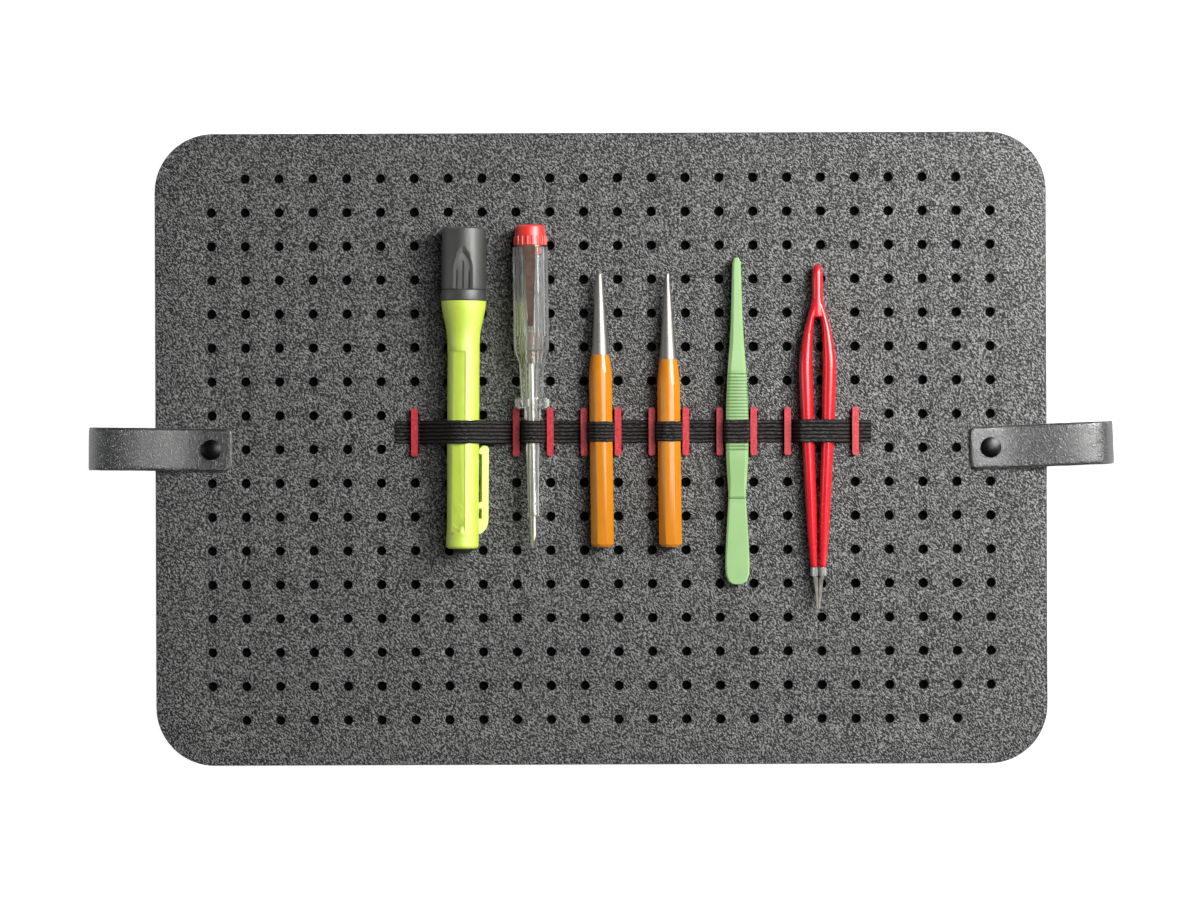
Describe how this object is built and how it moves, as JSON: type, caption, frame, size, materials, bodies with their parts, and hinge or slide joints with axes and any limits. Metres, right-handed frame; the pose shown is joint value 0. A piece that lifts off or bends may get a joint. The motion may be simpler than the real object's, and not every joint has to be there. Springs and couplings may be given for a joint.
{
  "type": "perforated tool board",
  "caption": "Flat perforated tool board with leather pull loops and an elastic band held by push-in clips, carrying a pen torch, a voltage tester, punches and tweezers.",
  "frame": {"origin": "centre of the footprint, on the surface that the board lies on", "axes": "+X along the board towards the right-hand loop, +Y up the board towards the tools' upper ends, +Z out of the front face"},
  "size_m": [0.4546, 0.28, 0.0265],
  "materials": {
    "board_plastic": "fine leather grain, semi-matt",
    "elastic": "ribbed knitted elastic",
    "clip_plastic": "satin",
    "strap_leather": "smooth face, raw pale-flecked cut edges",
    "rivet_black": "burnished black, satin",
    "torch_lime": "satin",
    "torch_grey": "satin",
    "torch_rubber": "matt",
    "torch_lens": "clear",
    "reflector": "mirror bright",
    "led_board": "matt",
    "cell_jacket": "satin",
    "spring_steel": "bright, darkened on the clip",
    "tester_clear": "clear, glossy",
    "tester_red": "glossy",
    "bare_steel": "bright",
    "lamp_glass": "clear",
    "resistor_brown": "satin",
    "punch_paint": "glossy lacquer over steel, bare at the point",
    "green_paint": "satin",
    "red_plastic": "glossy dipped coating"
  },
  "bodies": {
    "board": {"board": "board_plastic", "elastic_band": "elastic", "band_clip_1": "clip_plastic", "band_clip_2": "clip_plastic", "band_clip_3": "clip_plastic", "band_clip_4": "clip_plastic", "band_clip_5": "clip_plastic", "band_clip_6": "clip_plastic", "band_clip_7": "clip_plastic", "band_clip_8": "clip_plastic", "band_clip_9": "clip_plastic", "band_clip_10": "clip_plastic", "band_clip_11": "clip_plastic", "rivet_cap_left": "rivet_black", "rivet_cap_right": "rivet_black", "rivet_post_left": "rivet_black", "rivet_post_right": "rivet_black"},
    "strap_left": {"strap_left": "strap_leather"},
    "strap_right": {"strap_right": "strap_leather"},
    "torch": {"torch_body": "torch_lime", "torch_pocket_clip": "torch_lime", "torch_seal_ring": "torch_rubber", "torch_led_module": "led_board", "torch_battery_front": "cell_jacket", "torch_battery_rear": "cell_jacket", "torch_contact_spring": "spring_steel", "torch_tail_cap": "torch_lime"},
    "torch_head": {"torch_head": "torch_grey", "torch_lens": "torch_lens", "torch_reflector": "reflector"},
    "torch_button": {"torch_button": "torch_rubber"},
    "tester": {"tester_handle": "tester_clear", "tester_pocket_clip": "spring_steel", "tester_blade": "bare_steel", "tester_sleeve": "tester_clear", "tester_neon_lamp": "lamp_glass", "tester_resistor": "resistor_brown", "tester_spring": "spring_steel"},
    "tester_cap": {"tester_cap": "tester_red"},
    "punch_left": {"punch_left": "punch_paint"},
    "punch_right": {"punch_right": "punch_paint"},
    "green_tweezers": {"green_tweezers_lower_arm": "green_paint"},
    "green_upper_arm": {"green_tweezers_upper_arm": "green_paint"},
    "red_tweezers": {"red_tweezers_neck": "red_plastic"},
    "red_arm_left": {"red_tweezers_grip_left": "red_plastic", "red_tweezers_blade_left": "bare_steel", "red_tweezers_collar_left": "tester_clear"},
    "red_arm_right": {"red_tweezers_grip_right": "red_plastic", "red_tweezers_blade_right": "bare_steel", "red_tweezers_collar_right": "tester_clear"}
  },
  "joints": [
    {"name": "strap_left_swivel", "type": "hinge", "parent": "board", "child": "strap_left", "pos_m": [-0.1725, 0, 0.0049], "axis": [0, 0, 1], "range_deg": [-25, 25]},
    {"name": "strap_right_swivel", "type": "hinge", "parent": "board", "child": "strap_right", "pos_m": [0.1725, 0, 0.0049], "axis": [0, 0, 1], "range_deg": [-25, 25]},
    {"name": "torch_slide", "type": "slide", "parent": "board", "child": "torch", "axis": [0.0087, 1, 0], "range_m": [-0.03, 0.06]},
    {"name": "torch_head_twist", "type": "hinge", "parent": "torch", "child": "torch_head", "pos_m": [-0.06007, 0.08, 0.0165], "axis": [0.0087, 1, 0], "range_deg": [0, 90]},
    {"name": "torch_button_press", "type": "slide", "parent": "torch", "child": "torch_button", "axis": [0.0087, 1, 0], "range_m": [0, 0.001], "stiffness_N_per_m": 2000},
    {"name": "tester_slide", "type": "slide", "parent": "board", "child": "tester", "axis": [-0.0087, 1, 0], "range_m": [0, 0.058]},
    {"name": "tester_cap_turn", "type": "hinge", "parent": "tester", "child": "tester_cap", "pos_m": [-0.03092, 0.09, 0.0143], "axis": [-0.0087, 1, 0], "range_deg": [0, 90]},
    {"name": "punch_left_slide", "type": "slide", "parent": "board", "child": "punch_left", "axis": [-0.0087, 1, 0], "range_m": [-0.076, 0.02]},
    {"name": "punch_right_slide", "type": "slide", "parent": "board", "child": "punch_right", "axis": [-0.0087, 1, 0], "range_m": [-0.076, 0.02]},
    {"name": "green_tweezers_slide", "type": "slide", "parent": "board", "child": "green_tweezers", "axis": [0, 1, 0], "range_m": [-0.083, 0.02]},
    {"name": "green_tweezers_squeeze", "type": "hinge", "parent": "green_tweezers", "child": "green_upper_arm", "pos_m": [0.06, -0.022, 0.0115], "axis": [-1, 0, 0], "range_deg": [0, 1.4], "stiffness_Nm_per_rad": 4},
    {"name": "red_tweezers_slide", "type": "slide", "parent": "board", "child": "red_tweezers", "axis": [0, 1, 0], "range_m": [-0.02, 0.085]},
    {"name": "red_arm_left_open", "type": "hinge", "parent": "red_tweezers", "child": "red_arm_left", "pos_m": [0.09145, 0.05, 0.0109], "axis": [0, 0, -1], "range_deg": [-0.06, 1], "stiffness_Nm_per_rad": 4},
    {"name": "red_arm_right_open", "type": "hinge", "parent": "red_tweezers", "child": "red_arm_right", "pos_m": [0.09995, 0.05, 0.0109], "axis": [0, 0, 1], "range_deg": [-0.06, 1], "stiffness_Nm_per_rad": 4}
  ],
  "couplings": [
    {"joint": "red_arm_right_open", "follows": "red_arm_left_open", "ratio": 1}
  ]
}
